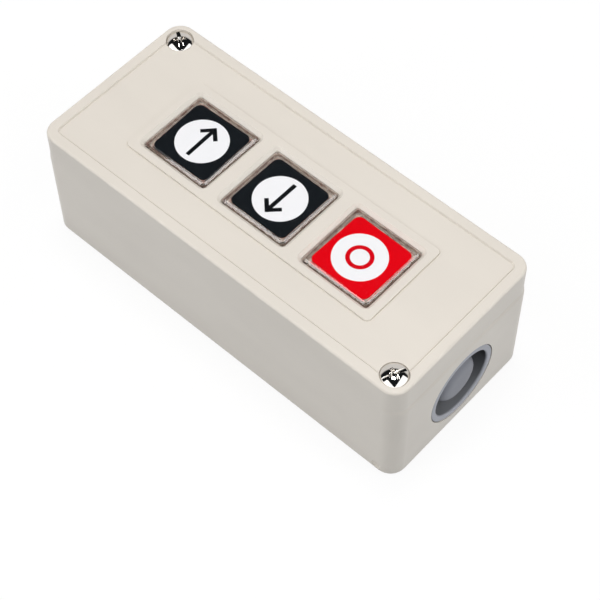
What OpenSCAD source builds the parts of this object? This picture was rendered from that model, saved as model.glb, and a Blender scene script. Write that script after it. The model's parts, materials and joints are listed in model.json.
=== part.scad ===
// Three-button control station for a reversing motor drive.
// Forward, reverse and stop buttons work double-break contacts in one block,
// and the stop button draws a latch slide that lets the other two spring back.
// X runs across the box, Y up the wall and Z out of the wall.
// The origin is at the middle of the back face.

/* [Cover] */
// Width of the cover
cover_w = 56; // [55:0.5:70]
// Length of the cover, without the proud pads on its ends
cover_l = 130.4; // [129:0.2:160]
// Height of the box over the wall that it is fixed to
box_h = 42.5; // [42:0.5:55]
// Radius of the upright corners
corner_r = 5; // [4:0.5:7]
// Thickness of the side and end walls
wall = 2.2; // [1.8:0.1:2.4]
// Thickness of the top under its raised rim
top_t = 3.2; // [2.8:0.1:4]
// Radius of the rounded edge round the top
edge_r = 0.8; // [0.4:0.1:1.2]
// Gap that the cover keeps over the mounting wall
reveal = 0.4; // [0.2:0.1:1]
// Width of the rim round the sunk field of the top
rim_w = 3.5; // [3:0.1:4.5]
// Depth of the sunk field
field_depth = 0.45; // [0.3:0.05:0.8]
// Corner radius of the sunk field and of the raised plate in it
field_r = 1.5; // [1:0.1:3]
// Width of the raised plate that carries the windows
raised_w = 30.1; // [28:0.1:34]
// Length of the raised plate
raised_l = 88.6; // [86:0.1:94]
// Height to which the pads on the end walls reach
pad_top = 33; // [31:0.5:36]
// Amount by which the pads stand proud of the end walls
pad_proud = 0.4; // [0.2:0.1:0.8]
// Radius of the scooped lifting notch in the foot of the cover
notch_r = 2.2; // [1.6:0.1:3]

/* [Windows and caps] */
// Width of the square windows in the top
window = 23.4; // [22:0.1:24]
// Distance from button to button
pitch = 29.3; // [29:0.1:31]
// Radius of the rounded edge round each window
window_edge = 1; // [0.5:0.1:1.4]
// Depth of the collar under each window
collar_h = 3.3; // [2:0.1:4]
// Running gap between a cap and its window, on each side
cap_gap = 0.3; // [0.2:0.05:0.5]
// Height of the clear caps
cap_h = 4; // [3.4:0.1:6]
// Wall of the clear caps
cap_wall = 1.1; // [0.8:0.1:1.5]
// Thickness of the clear top over the label
cap_roof = 1.3; // [1:0.1:2]
// Width of the chamfer round the top of the caps
cap_edge = 0.8; // [0.3:0.1:1]
// Thickness of the label card
label_t = 0.4; // [0.2:0.1:0.8]
// Amount by which the label is smaller than its holder, on each side
label_margin = 0.3; // [0.1:0.1:1]
// Corner radius of the label
label_r = 1.9; // [1:0.1:3]

/* [Buttons] */
// Travel of each button
travel = 4; // [3:0.1:4.5]
// Width of the plunger above its shoulder
stem_w = 9; // [8:0.1:10]
// Length of the plunger along the box
stem_l = 10; // [9:0.1:11]
// Width of the shoulder that stops the plunger under the deck, on each side
shoulder = 0.8; // [0.5:0.1:1]
// Reach of the hook nose on the forward and reverse plungers
nose_out = 1.2; // [0.8:0.1:1.5]
// Width of the hook nose
nose_w = 4; // [3:0.1:6]
// Wall of the hollow holder
holder_wall = 1.4; // [1:0.1:2]
// Wire radius of the return springs
return_wire_r = 0.3; // [0.2:0.05:0.35]
// Mean radius of the return springs
return_coil_r = 2.9; // [2.5:0.1:3.1]

/* [Contacts] */
// Height of the ledges that carry the terminals
terminal_z = 18; // [17:0.5:19]
// Thickness of the fixed contact strips
strip_t = 1.2; // [1:0.1:1.5]
// Width of the fixed contact strips
strip_w = 7; // [6:0.1:8]
// Height of the contact tips
tip_h = 0.8; // [0.5:0.1:1]
// Radius of the contact tips
tip_r = 1.8; // [1.2:0.1:2]
// Gap left between tips that are shut
shut_gap = 0.1; // [0.05:0.05:0.2]
// Length of the moving contact bridges
bridge_l = 21.2; // [20:0.2:22]
// Width of the moving contact bridges
bridge_w = 6; // [5:0.1:6.4]
// Thickness of the moving contact bridges
bridge_t = 1; // [0.8:0.1:1.2]
// Distance of the contact tips from the ends of the bridges
tip_inset = 2; // [1.8:0.1:2.4]
// Thickness of the terminal clamp plates
clamp_t = 1; // [0.8:0.1:1.5]
// Side of the square terminal clamp plates
clamp_w = 7.6; // [7:0.1:8]

/* [Contact block] */
// Gap between the block and the lip of the base, on each side
block_gap = 0.55; // [0.2:0.05:1]
// Wall of the tower at the ends of the moving bridges
tower_wall = 1; // [0.8:0.1:1.4]
// Thickness of the barriers between the terminals
barrier_t = 2.5; // [1.5:0.1:3]
// Thickness of the steel deck on the tower
deck_t = 1.6; // [1.4:0.1:2]
// Distance of the deck screws from the sides of the deck
deck_screw_inset = 3.6; // [3.2:0.1:4]
// Radius of the lugs that hold the block to the base
lug_r = 5; // [4.5:0.1:5.5]
// Distance of the lugs from the middle of the box
lug_x = 15; // [12:0.5:17]
// Thickness of the lugs
lug_t = 4; // [3:0.5:5]

/* [Latch] */
// Thickness of the latch slide
slide_t = 1.2; // [1:0.1:1.5]
// Travel of the latch slide
slide_travel = 2; // [1.5:0.1:2.2]
// Width of the frames round the windows in the slide
slide_frame = 3; // [2:0.1:3.5]
// Half width of the necks between those frames
neck_half = 4; // [3.4:0.1:4.6]
// Radius of the cam pin
cam_pin_r = 1; // [0.8:0.1:1.2]
// Radius of the shoulder studs that guide the slide
stud_r = 2; // [1.6:0.1:2.2]

/* [Base] */
// Thickness of the base floor
base_t = 3; // [2.5:0.1:4]
// Height of the lip round the base
lip_h = 6; // [5:0.5:8]
// Thickness of the lip
lip_t = 1.5; // [1:0.1:1.6]
// Gap between the base and the cover walls
base_gap = 0.25; // [0.15:0.05:0.4]
// Distance between the two wall fixing holes
fixing_pitch = 110; // [104:0.5:112]
// Radius of the wall fixing holes
fixing_r = 2.4; // [2:0.1:2.75]
// Height of the pillars that the cover is screwed to
pillar_top = 31; // [28:0.5:33]
// Distance of the cover screws from the side and end of the cover
screw_inset = 5.65; // [5.5:0.05:6]

/* [Screws] */
// Radius of the M4 screw shanks
m4_r = 1.95; // [1.9:0.01:1.98]
// Radius of the heads of the cover screws
cover_head_r = 3.9; // [3.6:0.1:4.1]
// Height of the heads of the cover screws
cover_head_h = 2.7; // [2:0.1:3]
// Length of the cover screws under the head
cover_screw_l = 18; // [14:1:20]
// Radius of the heads of the terminal and block screws
m4_head_r = 3.6; // [3.2:0.1:3.8]
// Height of the heads of the terminal and block screws
m4_head_h = 2.4; // [2:0.1:2.8]

/* [Cable grommet] */
// Height of the cable hole over the mounting wall
grommet_z = 16.65; // [16.5:0.05:18]
// Outer radius of the face flange
grommet_r = 12.65; // [11:0.05:12.8]
// Radius of the open mouth
mouth_r = 10.75; // [9.5:0.05:10.8]
// Thickness of the face flange
grommet_flange_t = 1.2; // [0.8:0.1:1.4]
// Depth of the groove round the crowned middle
groove_d = 7; // [3:0.1:8]
// Radius of the crowned middle at its foot
crown_r = 8.5; // [7:0.1:9]
// Thickness of the rubber skin
skin_t = 1; // [0.6:0.1:1.2]

/* [Hidden] */
$fn = 48;

// Gaps that fits share, from the tightest to the widest
pin_fit = 0.02;
fit_gap = 0.05;
run_gap = 0.1;
free_gap = 0.25;
side_gap = 0.4;
press_gap = 0.6;

// Reach of a cutting shape past the face that it cuts, and of one shape into the next
overcut = 1;
sink = 0.1;

// Where the three buttons stand along the box
for_y = pitch;
rev_y = 0;
stop_y = -pitch;
button_ys = [for_y, rev_y, stop_y];

// Inside of the cover and outline of the base
inner_w = cover_w - 2 * wall;
inner_l = cover_l - 2 * wall;
inner_r = corner_r - wall;
ceiling_z = box_h - top_t;
base_w = inner_w - 2 * base_gap;
base_l = inner_l - 2 * base_gap;
base_r = inner_r - base_gap;
end_face = cover_l / 2 + pad_proud;
foot_edge = 0.4;
edge_steps = 5;
collar_t = 1.4;
seat_wall = 0.9;

// Lifting notch: how far it bites into the wall, and the height of its middle
notch_bite = 0.5;
notch_z = 1.9;

// Contact levels, from the terminal ledge to the deck
strip_top = terminal_z + strip_t;
open_bridge_z = strip_top + 2 * tip_h + travel + shut_gap;
shut_bridge_z = terminal_z - 2 * tip_h - shut_gap - bridge_t;
deck_z = open_bridge_z + bridge_t + run_gap;
deck_top = deck_z + deck_t;
slide_z = deck_top + run_gap;
slide_top = slide_z + slide_t;

// Cap, label, holder and plunger levels, from the top down
cap_w = window - 2 * cap_gap;
cap_r = 1.1;
cap_inner_r = 0.8;
holder_foot = slide_top + travel + press_gap;
cap_z = box_h - cap_h;
label_top = box_h - cap_roof;
holder_top = label_top - label_t;
holder_roof = 1.6;
holder_w = cap_w - 2 * cap_wall - 2 * run_gap;
label_w = holder_w - 2 * label_margin;
stem_top = holder_top - holder_roof;
bridge_spring_l = 2.4;
bridge_spring_r = 1.9;
bridge_wire_r = 0.25;
bridge_turns = 3.6;
return_turns = 5.4;
foot_t = 1;
foot_z = shut_bridge_z - bridge_spring_l - foot_t;
spigot_r = 1.7;
spigot_h = 1.5;
nose_h = deck_t - run_gap;
nose_top = slide_z - run_gap + travel;

// Pockets of the contact block
block_floor = 1;
bridge_room = 0.9;
chamber_z = foot_z - travel - press_gap;
chamber_half_x = bridge_l / 2 + bridge_room;
chamber_half_y = stem_l / 2 + press_gap;
tower_w = 2 * (chamber_half_x + tower_wall);
well_floor = base_t + block_floor;
well_r = return_coil_r + return_wire_r + side_gap;
tap_r = m4_r + fit_gap;
free_r = m4_r + free_gap;
block_w = base_w - 2 * (lip_t + block_gap);
block_l = 3 * pitch + barrier_t;
barrier_drop = 1;
deck_margin = 0.2;
block_r = 1.5;
terminal_screw_l = 11;
terminal_x = (tower_w + block_w) / 4;
tip_x = bridge_l / 2 - tip_inset;
tip_margin = 0.2;
strip_inset = 0.8;
clamp_r = 0.8;
deck_r = 2;
deck_w = tower_w - 2 * deck_margin;
deck_screw_x = deck_w / 2 - deck_screw_inset;

// Lugs of the block and their bosses on the base
lug_y = block_l / 2 + lug_r;
boss_step = 0.5;
boss_top = 7;
boss_r = lug_r - boss_step;
block_screw_l = 9;

// Raised rings round the wall fixing holes
fixing_ring_r = 2 * fixing_r;
fixing_ring_h = 1.5;

// Latch slide
slot_r = stud_r + fit_gap;
slide_half = stem_w / 2 + side_gap;
cam_lift = 1.6;
cam_z = slide_top + cam_lift;
ear_t = 1.2;
ear_w = 5;
ear_over = 1.8;
ear_top = cam_z + ear_over;
pin_end = 0.7;
ear_out = slide_half + ear_t;
cam_y = stop_y - slide_travel / 2;
cam_slot_r = cam_pin_r + fit_gap;
stud_head_r = 2.9;
stud_head_h = 1;
stud_thread_r = 1.5;
stud_slot_w = 0.8;
m3_r = 1.45;
m3_free_r = m3_r + 0.15;
m3_head_r = 2.75;
m3_head_h = 1.8;
m3_l = 9;

// Limits of the slide's window round one plunger, from that plunger's middle
slide_low = -stem_l / 2 - slide_travel - side_gap;
latch_high = stem_l / 2 + nose_out + run_gap;
cam_high = stem_l / 2 + side_gap;

// Cross recesses and the rounding of the heads, as shares of the head
recess_reach = 0.52;
recess_depth = 0.55;
recess_aspect = 2.2;
head_round = 0.6;

// Cover screws and the seats of their heads
screw_x = cover_w / 2 - screw_inset;
screw_y = cover_l / 2 - screw_inset;
head_proud = 0.6;
head_turn = 8;
head_seat_z = box_h + head_proud - cover_head_h;
seat_r = cover_head_r + run_gap;
pillar_w = 2 * (inner_w / 2 - base_gap - screw_x);
pillar_l = 2 * (inner_l / 2 - base_gap - screw_y);

// Cable grommet
grommet_seat_r = grommet_r + free_gap;
grommet_seat_d = grommet_flange_t + run_gap;
grommet_neck_r = grommet_r - 1.15;
grommet_inner_t = 1.4;
grommet_lead = 0.6;
lip_round = 0.2;
mouth_round = 0.4;
groove_round = 0.5;
crown_top = 0.45;
crown_power = 6.7;
crown_steps = 8;

function arc_steps(top, r, way) =
    [for (i = [0 : edge_steps])
        let (a = 90 * i / edge_steps)
        [way * r * (1 - cos(a)), top - r + r * sin(a)]];

// Flat shapes

module rounded_rect(w, l, r) {
    square([w - 2 * r, l], center = true);
    square([w, l - 2 * r], center = true);
    for (x = [-1, 1], y = [-1, 1])
        translate([x * (w / 2 - r), y * (l / 2 - r)])
            circle(r);
}

// A straight slot from the origin to a point on the Y axis
module slot_shape(length, r) {
    circle(r);
    translate([0, length])
        circle(r);
    translate([-r, min(0, length)])
        square([2 * r, abs(length)]);
}

// Solids that many pieces share

module slab(w, l, h, r) {
    linear_extrude(h)
        rounded_rect(w, l, r);
}

module section(span, steps) {
    polygon(concat(
        [for (s = steps) [span / 2 + s[0], s[1]]],
        [for (i = [len(steps) - 1 : -1 : 0]) [-span / 2 - steps[i][0], steps[i][1]]]
    ));
}

// A rounded rectangle that swells or shrinks on its way up.
// Each step is its outward growth and its height.
module moulded_block(w, l, r, steps) {
    for (x = [-1, 1], y = [-1, 1])
        translate([x * (w / 2 - r), y * (l / 2 - r), 0])
            rotate_extrude()
                polygon(concat(
                    [[0, steps[0][1]]],
                    [for (s = steps) [r + s[0], s[1]]],
                    [[0, steps[len(steps) - 1][1]]]
                ));
    translate([0, l / 2 - r, 0])
        rotate([90, 0, 0])
            linear_extrude(l - 2 * r)
                section(w, steps);
    translate([r - w / 2, 0, 0])
        rotate([90, 0, 90])
            linear_extrude(w - 2 * r)
                section(l, steps);
}

// A box that is centred in X and Y
module column(w, l, z, top) {
    translate([-w / 2, -l / 2, z])
        cube([w, l, top - z]);
}

// A cross recess for a screwdriver, sunk from the given height
module cross_recess(top, reach, depth) {
    for (turn = [0, 90])
        rotate(turn)
            column(2 * reach, reach / recess_aspect, top - depth, top + overcut);
}

// A pan head screw, head seat at zero, with its shank reaching down
module pan_screw(shank_r, shank_l, head_r, head_h) {
    translate([0, 0, -shank_l])
        cylinder(r = shank_r, h = shank_l + sink);
    difference() {
        rotate_extrude()
            polygon(concat(
                [[0, 0], [head_r, 0]],
                [for (p = arc_steps(head_h, head_h * head_round, -1)) [head_r + p[0], p[1]]],
                [[0, head_h]]
            ));
        cross_recess(head_h, head_r * recess_reach, head_h * recess_depth);
    }
}

// A coil spring that stands on z0 with its end turns closed
closed_turn = 0.8;

function coil_height(t, turns, z0, z1, wire_r) =
    let (low = z0 + wire_r, high = z1 - wire_r, u = t / turns, dead = closed_turn / turns)
    u < dead ? low
        : u > 1 - dead ? high
        : low + (high - low) * (u - dead) / (1 - 2 * dead);

module coil_spring(coil_r, wire_r, turns, z0, z1) {
    sides = 5;
    per_turn = 14;
    rings = round(turns * per_turn);
    points = [
        for (i = [0 : rings], k = [0 : sides - 1])
            let (
                a = 360 * i / per_turn,
                b = 360 * (k + 0.25) / sides,
                rad = coil_r + wire_r * cos(b),
                z = coil_height(i / per_turn, turns, z0, z1, wire_r) + wire_r * sin(b)
            )
            [rad * cos(a), rad * sin(a), z]
    ];
    walls = [
        for (i = [0 : rings - 1], k = [0 : sides - 1])
            let (n = (k + 1) % sides)
            [i * sides + k, (i + 1) * sides + k, (i + 1) * sides + n, i * sides + n]
    ];
    ends = [
        [for (k = [0 : sides - 1]) k],
        [for (k = [sides - 1 : -1 : 0]) rings * sides + k],
    ];
    polyhedron(points = points, faces = concat(walls, ends), convexity = 10);
}

// Base

module base_plate() {
    color([0.78, 0.76, 0.71])
        difference() {
            union() {
                moulded_block(base_w, base_l, base_r, [[-foot_edge, 0], [0, foot_edge], [0, base_t]]);
                base_lip();
                for (s = [-1, 1]) {
                    translate([s * screw_x, s * screw_y, 0])
                        slab(pillar_w, pillar_l, pillar_top, base_r);
                    translate([-s * lug_x, s * lug_y, 0])
                        cylinder(r = boss_r, h = boss_top);
                    translate([0, s * fixing_pitch / 2, 0])
                        cylinder(r = fixing_ring_r, h = base_t + fixing_ring_h);
                }
            }
            for (s = [-1, 1]) {
                translate([s * screw_x, s * screw_y, head_seat_z - cover_screw_l - overcut])
                    cylinder(r = tap_r, h = box_h);
                translate([-s * lug_x, s * lug_y, overcut])
                    cylinder(r = tap_r, h = boss_top);
                translate([0, s * fixing_pitch / 2, -overcut])
                    cylinder(r = fixing_r, h = base_t + fixing_ring_h + 2 * overcut);
            }
            translate([0, -inner_l / 2, grommet_z])
                rotate([90, 0, 0])
                    cylinder(r = grommet_r + press_gap, h = 2 * (lip_t + wall), center = true);
        }
}

module base_lip() {
    difference() {
        slab(base_w, base_l, lip_h, base_r);
        translate([0, 0, -overcut])
            slab(base_w - 2 * lip_t, base_l - 2 * lip_t, lip_h + 2 * overcut, base_r - lip_t);
    }
}

// Cover

module cover() {
    color([0.89, 0.86, 0.81])
        difference() {
            cover_body();
            for (y = button_ys)
                translate([0, y, 0])
                    window_opening();
            sunk_field();
            for (s = [-1, 1])
                translate([s * screw_x, s * screw_y, 0])
                    cover_screw_hole();
            cable_hole();
            lifting_notch();
        }
}

module cover_body() {
    difference() {
        union() {
            moulded_block(cover_w, cover_l, corner_r, concat(
                [[-reveal, reveal], [0, 2 * reveal]],
                arc_steps(box_h, edge_r, -1)
            ));
            end_pads();
        }
        difference() {
            translate([0, 0, -overcut])
                moulded_block(inner_w, inner_l, inner_r, concat(
                    [[0, 0]],
                    arc_steps(ceiling_z + overcut, edge_r, -1)
                ));
            for (y = button_ys)
                translate([0, y, 0])
                    column(window + 2 * collar_t, window + 2 * collar_t, ceiling_z - collar_h, box_h);
            for (s = [-1, 1])
                translate([s * screw_x, s * screw_y, pillar_top])
                    cylinder(r = seat_r + seat_wall, h = box_h - pillar_top);
        }
    }
}

// The lower part of both end walls stands proud, up to a slanted ledge
module end_pads() {
    moulded_block(cover_w, cover_l + 2 * pad_proud, corner_r, [
        [-reveal, reveal],
        [0, 2 * reveal],
        [0, pad_top - pad_proud],
        [-pad_proud, pad_top],
    ]);
}

module window_opening() {
    moulded_block(window, window, cap_r, concat(
        [[0, ceiling_z - collar_h - overcut]],
        arc_steps(box_h, window_edge, 1),
        [[window_edge, box_h + overcut]]
    ));
}

module sunk_field() {
    translate([0, 0, box_h - field_depth])
        difference() {
            slab(cover_w - 2 * rim_w, cover_l - 2 * rim_w, field_depth + overcut, field_r);
            translate([0, 0, -overcut])
                slab(raised_w, raised_l, field_depth + 3 * overcut, field_r);
        }
}

module cover_screw_hole() {
    translate([0, 0, head_seat_z])
        cylinder(r = seat_r, h = box_h);
    cylinder(r = free_r, h = box_h);
}

module cable_hole() {
    translate([0, -end_face, grommet_z])
        rotate([-90, 0, 0]) {
            translate([0, 0, -overcut])
                cylinder(r = grommet_seat_r, h = overcut + grommet_seat_d);
            cylinder(r = grommet_neck_r + run_gap, h = 3 * wall);
        }
}

module lifting_notch() {
    translate([notch_bite - notch_r - cover_w / 2, corner_r + notch_bite - cover_l / 2, notch_z])
        sphere(r = notch_r);
}

module cover_screws() {
    color([0.86, 0.87, 0.88])
        for (s = [-1, 1])
            translate([s * screw_x, s * screw_y, head_seat_z])
                rotate(s * head_turn)
                    pan_screw(m4_r, cover_screw_l, cover_head_r, cover_head_h);
}

// Cable grommet: a flanged rubber bush, closed by a crowned skin

function crown_depth(r) = crown_top + (groove_d - crown_top) * pow(r / crown_r, crown_power);

module grommet_profile() {
    web_end = wall + pad_proud;
    back = groove_d + skin_t;
    crown_rs = [for (i = [0 : crown_steps]) crown_r * sqrt(i / crown_steps)];
    polygon(concat(
        [for (r = crown_rs) [r, crown_depth(r)]],
        [
            [mouth_r - groove_round, groove_d],
            [mouth_r, groove_d - groove_round],
            [mouth_r, mouth_round],
            [mouth_r + mouth_round, 0],
            [grommet_r - lip_round, 0],
            [grommet_r, lip_round],
            [grommet_r, grommet_flange_t],
            [grommet_neck_r, grommet_flange_t],
            [grommet_neck_r, web_end + fit_gap],
            [grommet_r, web_end + fit_gap],
            [grommet_r - grommet_lead, web_end + grommet_inner_t],
            [mouth_r, back],
        ],
        [for (i = [crown_steps : -1 : 0]) [crown_rs[i] * (1 - skin_t / crown_r),
            crown_depth(crown_rs[i]) + skin_t]]
    ));
}

module cable_grommet() {
    color([0.56, 0.57, 0.6])
        translate([0, -end_face + fit_gap, grommet_z])
            rotate([-90, 0, 0])
                rotate_extrude()
                    grommet_profile();
}

// Contact block and its deck

module contact_block() {
    color([0.13, 0.12, 0.12])
        difference() {
            union() {
                translate([0, 0, base_t])
                    slab(tower_w, block_l, deck_z - base_t, block_r);
                translate([0, 0, base_t])
                    slab(block_w, block_l, terminal_z - base_t, block_r);
                for (i = [-1.5 : 1 : 1.5])
                    translate([0, i * pitch, 0])
                        column(block_w, barrier_t, base_t, deck_z - barrier_drop);
                for (s = [-1, 1])
                    block_lug(s);
            }
            for (y = button_ys)
                translate([0, y, 0])
                    button_chamber();
            for (x = [-1, 1], y = [-1, 1])
                translate([x * deck_screw_x, y * pitch / 2, deck_top - m3_l - overcut])
                    cylinder(r = m3_r + fit_gap, h = m3_l + 2 * overcut);
            for (s = [-1, 1])
                translate([-s * lug_x, s * lug_y, 0])
                    cylinder(r = free_r, h = boss_top + lug_t + overcut);
        }
}

module block_lug(s) {
    translate([-s * lug_x, s * lug_y, boss_top]) {
        cylinder(r = lug_r, h = lug_t);
        translate([-lug_r, s > 0 ? -lug_r - overcut : 0, 0])
            cube([2 * lug_r, lug_r + overcut, lug_t]);
    }
}

// The room of one button: chamber, spring well, strip slots and screw holes
module button_chamber() {
    column(2 * chamber_half_x, 2 * chamber_half_y, chamber_z, deck_z + overcut);
    translate([0, 0, well_floor])
        cylinder(r = well_r, h = chamber_z);
    column(tower_w + 2 * overcut, strip_w + 2 * run_gap, terminal_z, strip_top + run_gap);
    for (s = [-1, 1])
        translate([s * terminal_x, 0, terminal_z - terminal_screw_l + clamp_t])
            cylinder(r = tap_r, h = terminal_screw_l);
}

module block_screws() {
    color([0.72, 0.72, 0.7])
        for (s = [-1, 1])
            translate([-s * lug_x, s * lug_y, boss_top + lug_t])
                pan_screw(m4_r, block_screw_l, m4_head_r, m4_head_h);
}

module deck_plate() {
    low = deck_z - overcut;
    high = deck_top + overcut;
    color([0.7, 0.71, 0.72])
        difference() {
            translate([0, 0, deck_z])
                slab(deck_w, block_l - 2 * barrier_drop, deck_t, deck_r);
            for (y = button_ys)
                translate([0, y, 0])
                    column(stem_w + 2 * run_gap, stem_l + 2 * run_gap, low, high);
            for (y = [for_y, rev_y])
                translate([0, y + stem_l / 2, 0])
                    column(nose_w + side_gap, 2 * (nose_out + side_gap), low, high);
            for (y = [-1, 1]) {
                translate([0, y * pitch / 2, low])
                    cylinder(r = stud_thread_r + fit_gap, h = high - low);
                for (x = [-1, 1])
                    translate([x * deck_screw_x, y * pitch / 2, low])
                        cylinder(r = m3_free_r, h = high - low);
            }
        }
}

module deck_screws() {
    color([0.76, 0.76, 0.74])
        for (x = [-1, 1], y = [-1, 1])
            translate([x * deck_screw_x, y * pitch / 2, deck_top])
                pan_screw(m3_r, m3_l, m3_head_r, m3_head_h);
}

// Latch

module latch_slide() {
    color([0.62, 0.63, 0.65])
        difference() {
            union() {
                translate([0, 0, slide_z])
                    linear_extrude(slide_t)
                        slide_outline();
                for (s = [-1, 1])
                    translate([s * (slide_half + ear_t / 2), cam_y, 0])
                        column(ear_t, ear_w, slide_z, ear_top);
            }
            translate([-ear_out - overcut, cam_y, cam_z])
                rotate([0, 90, 0])
                    cylinder(r = cam_pin_r + pin_fit, h = 2 * (ear_out + overcut));
        }
}

module slide_window(y, high, grow) {
    translate([-slide_half - grow, y + slide_low - grow])
        square([2 * (slide_half + grow), high - slide_low + 2 * grow]);
}

module slide_outline() {
    difference() {
        union() {
            for (y = [for_y, rev_y])
                slide_window(y, latch_high, slide_frame);
            slide_window(stop_y, cam_high, slide_frame);
            translate([-neck_half, stop_y])
                square([2 * neck_half, 2 * pitch]);
        }
        for (y = [for_y, rev_y])
            slide_window(y, latch_high, 0);
        slide_window(stop_y, cam_high, 0);
        for (s = [-1, 1])
            translate([0, s * pitch / 2])
                slot_shape(-slide_travel, slot_r);
    }
}

module latch_pin() {
    pin_l = 2 * (ear_out + pin_end);
    color([0.8, 0.8, 0.82])
        translate([-pin_l / 2, cam_y, cam_z])
            rotate([0, 90, 0])
                cylinder(r = cam_pin_r, h = pin_l);
}

module slide_studs() {
    color([0.76, 0.76, 0.74])
        for (s = [-1, 1])
            translate([0, s * pitch / 2, 0])
                difference() {
                    union() {
                        translate([0, 0, deck_z])
                            cylinder(r = stud_thread_r, h = deck_t + sink);
                        translate([0, 0, deck_top])
                            cylinder(r = stud_r, h = slide_t + 2 * run_gap);
                        translate([0, 0, slide_top + run_gap])
                            cylinder(r = stud_head_r, h = stud_head_h);
                    }
                    translate([0, 0, slide_top + run_gap])
                        column(3 * stud_head_r, stud_slot_w, stud_head_h / 2, 2 * stud_head_h);
                }
}

// Buttons

module cap(y) {
    hollow = cap_w - 2 * cap_wall;
    color([0.93, 0.95, 0.95, 0.35])
        translate([0, y, 0])
            difference() {
                moulded_block(cap_w, cap_w, cap_r, [
                    [0, cap_z],
                    [0, box_h - cap_edge],
                    [-cap_edge, box_h],
                ]);
                translate([0, 0, cap_z - overcut])
                    slab(hollow, hollow, label_top - cap_z + overcut, cap_inner_r);
            }
}

module label(y) {
    translate([0, y, holder_top])
        slab(label_w, label_w, label_t, label_r);
}

// Hollow holder with a shoulder for the cap's foot, a narrower top inside the cap
// and a socket for the head of its plunger
module holder(y) {
    socket_z = ear_top + travel + press_gap;
    skirt_hollow = cap_w - 2 * holder_wall;
    top_hollow = holder_w - 2 * holder_wall;
    color([0.66, 0.62, 0.57])
        translate([0, y, 0])
            difference() {
                union() {
                    translate([0, 0, holder_foot])
                        slab(cap_w, cap_w, cap_z - holder_foot, cap_r);
                    translate([0, 0, holder_foot])
                        slab(holder_w, holder_w, holder_top - holder_foot, cap_inner_r);
                }
                difference() {
                    union() {
                        column(skirt_hollow, skirt_hollow, holder_foot - overcut, cap_z - holder_roof);
                        column(top_hollow, top_hollow, holder_foot - overcut, stem_top);
                    }
                    column(stem_w + 2 * holder_wall, stem_l + 2 * holder_wall, socket_z, box_h);
                }
                column(stem_w + 2 * fit_gap, stem_l + 2 * fit_gap, holder_foot, stem_top);
            }
}

// The part of a plunger that all three share, with the slot for its bridge
module plunger_body(slot_z, slot_top) {
    difference() {
        union() {
            column(stem_w + 2 * shoulder, stem_l, foot_z, deck_z - run_gap);
            column(stem_w, stem_l, foot_z, stem_top);
            translate([0, 0, foot_z - spigot_h])
                cylinder(r = spigot_r, h = spigot_h + foot_t / 2);
        }
        column(2 * stem_w, bridge_w + side_gap, slot_z, slot_top);
    }
}

module latching_plunger(y) {
    color([0.2, 0.2, 0.21])
        translate([0, y, 0]) {
            plunger_body(open_bridge_z, open_bridge_z + bridge_t + bridge_spring_l);
            translate([-nose_w / 2, stem_l / 2, nose_top])
                rotate([90, 0, 90])
                    linear_extrude(nose_w)
                        polygon([
                            [-overcut, 0], [nose_out, 0], [nose_out, -nose_h / 3],
                            [0, -nose_h], [-overcut, -nose_h],
                        ]);
        }
}

// The stop plunger carries the slanted slot that draws the latch slide
module cam_plunger(y) {
    lean = atan2(slide_travel, travel);
    slot_length = norm([slide_travel, travel]);
    color([0.72, 0.1, 0.1])
        translate([0, y, 0])
            difference() {
                plunger_body(shut_bridge_z - bridge_spring_l, shut_bridge_z + bridge_t);
                translate([-stem_w, cam_y - stop_y, cam_z])
                    rotate([-lean, 0, 0])
                        rotate([0, 90, 0])
                            rotate(90)
                                linear_extrude(2 * stem_w)
                                    slot_shape(slot_length, cam_slot_r);
            }
}

module bridge(y, z, tip_down) {
    color([0.78, 0.6, 0.32])
        translate([0, y, z]) {
            column(bridge_l, bridge_w, 0, bridge_t);
            for (s = [-1, 1])
                translate([s * tip_x, 0, tip_down ? -tip_h : bridge_t])
                    cylinder(r = tip_r, h = tip_h);
        }
}

module bridge_spring(y, z) {
    color([0.75, 0.76, 0.78])
        translate([0, y, 0])
            coil_spring(bridge_spring_r, bridge_wire_r, bridge_turns, z, z + bridge_spring_l);
}

module return_spring(y) {
    color([0.75, 0.76, 0.78])
        translate([0, y, 0])
            coil_spring(return_coil_r, return_wire_r, return_turns, well_floor, foot_z);
}

// Terminals

// A brass strip from its clamp screw to its contact tip
module fixed_contact(y, side, tip_down) {
    inner_x = tip_x - tip_r - tip_margin;
    outer_x = block_w / 2 - strip_inset;
    color([0.78, 0.6, 0.32])
        translate([0, y, terminal_z])
            difference() {
                union() {
                    translate([side > 0 ? inner_x : -outer_x, -strip_w / 2, 0])
                        cube([outer_x - inner_x, strip_w, strip_t]);
                    translate([side * tip_x, 0, tip_down ? -tip_h : strip_t])
                        cylinder(r = tip_r, h = tip_h);
                }
                translate([side * terminal_x, 0, -overcut])
                    cylinder(r = free_r, h = strip_t + 2 * overcut);
            }
}

module each_terminal() {
    for (x = [-1, 1], y = button_ys)
        translate([x * terminal_x, y, strip_top])
            children();
}

module terminal_screws() {
    color([0.72, 0.72, 0.7])
        each_terminal()
            translate([0, 0, clamp_t])
                pan_screw(m4_r, terminal_screw_l, m4_head_r, m4_head_h);
}

module terminal_clamps() {
    color([0.8, 0.78, 0.7])
        each_terminal()
            difference() {
                slab(clamp_w, clamp_w, clamp_t, clamp_r);
                translate([0, 0, -overcut])
                    cylinder(r = free_r, h = clamp_t + 2 * overcut);
            }
}

module black_card() {
    color([0.05, 0.06, 0.07])
        children();
}

module red_card() {
    color([0.87, 0.02, 0.06])
        children();
}

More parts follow.
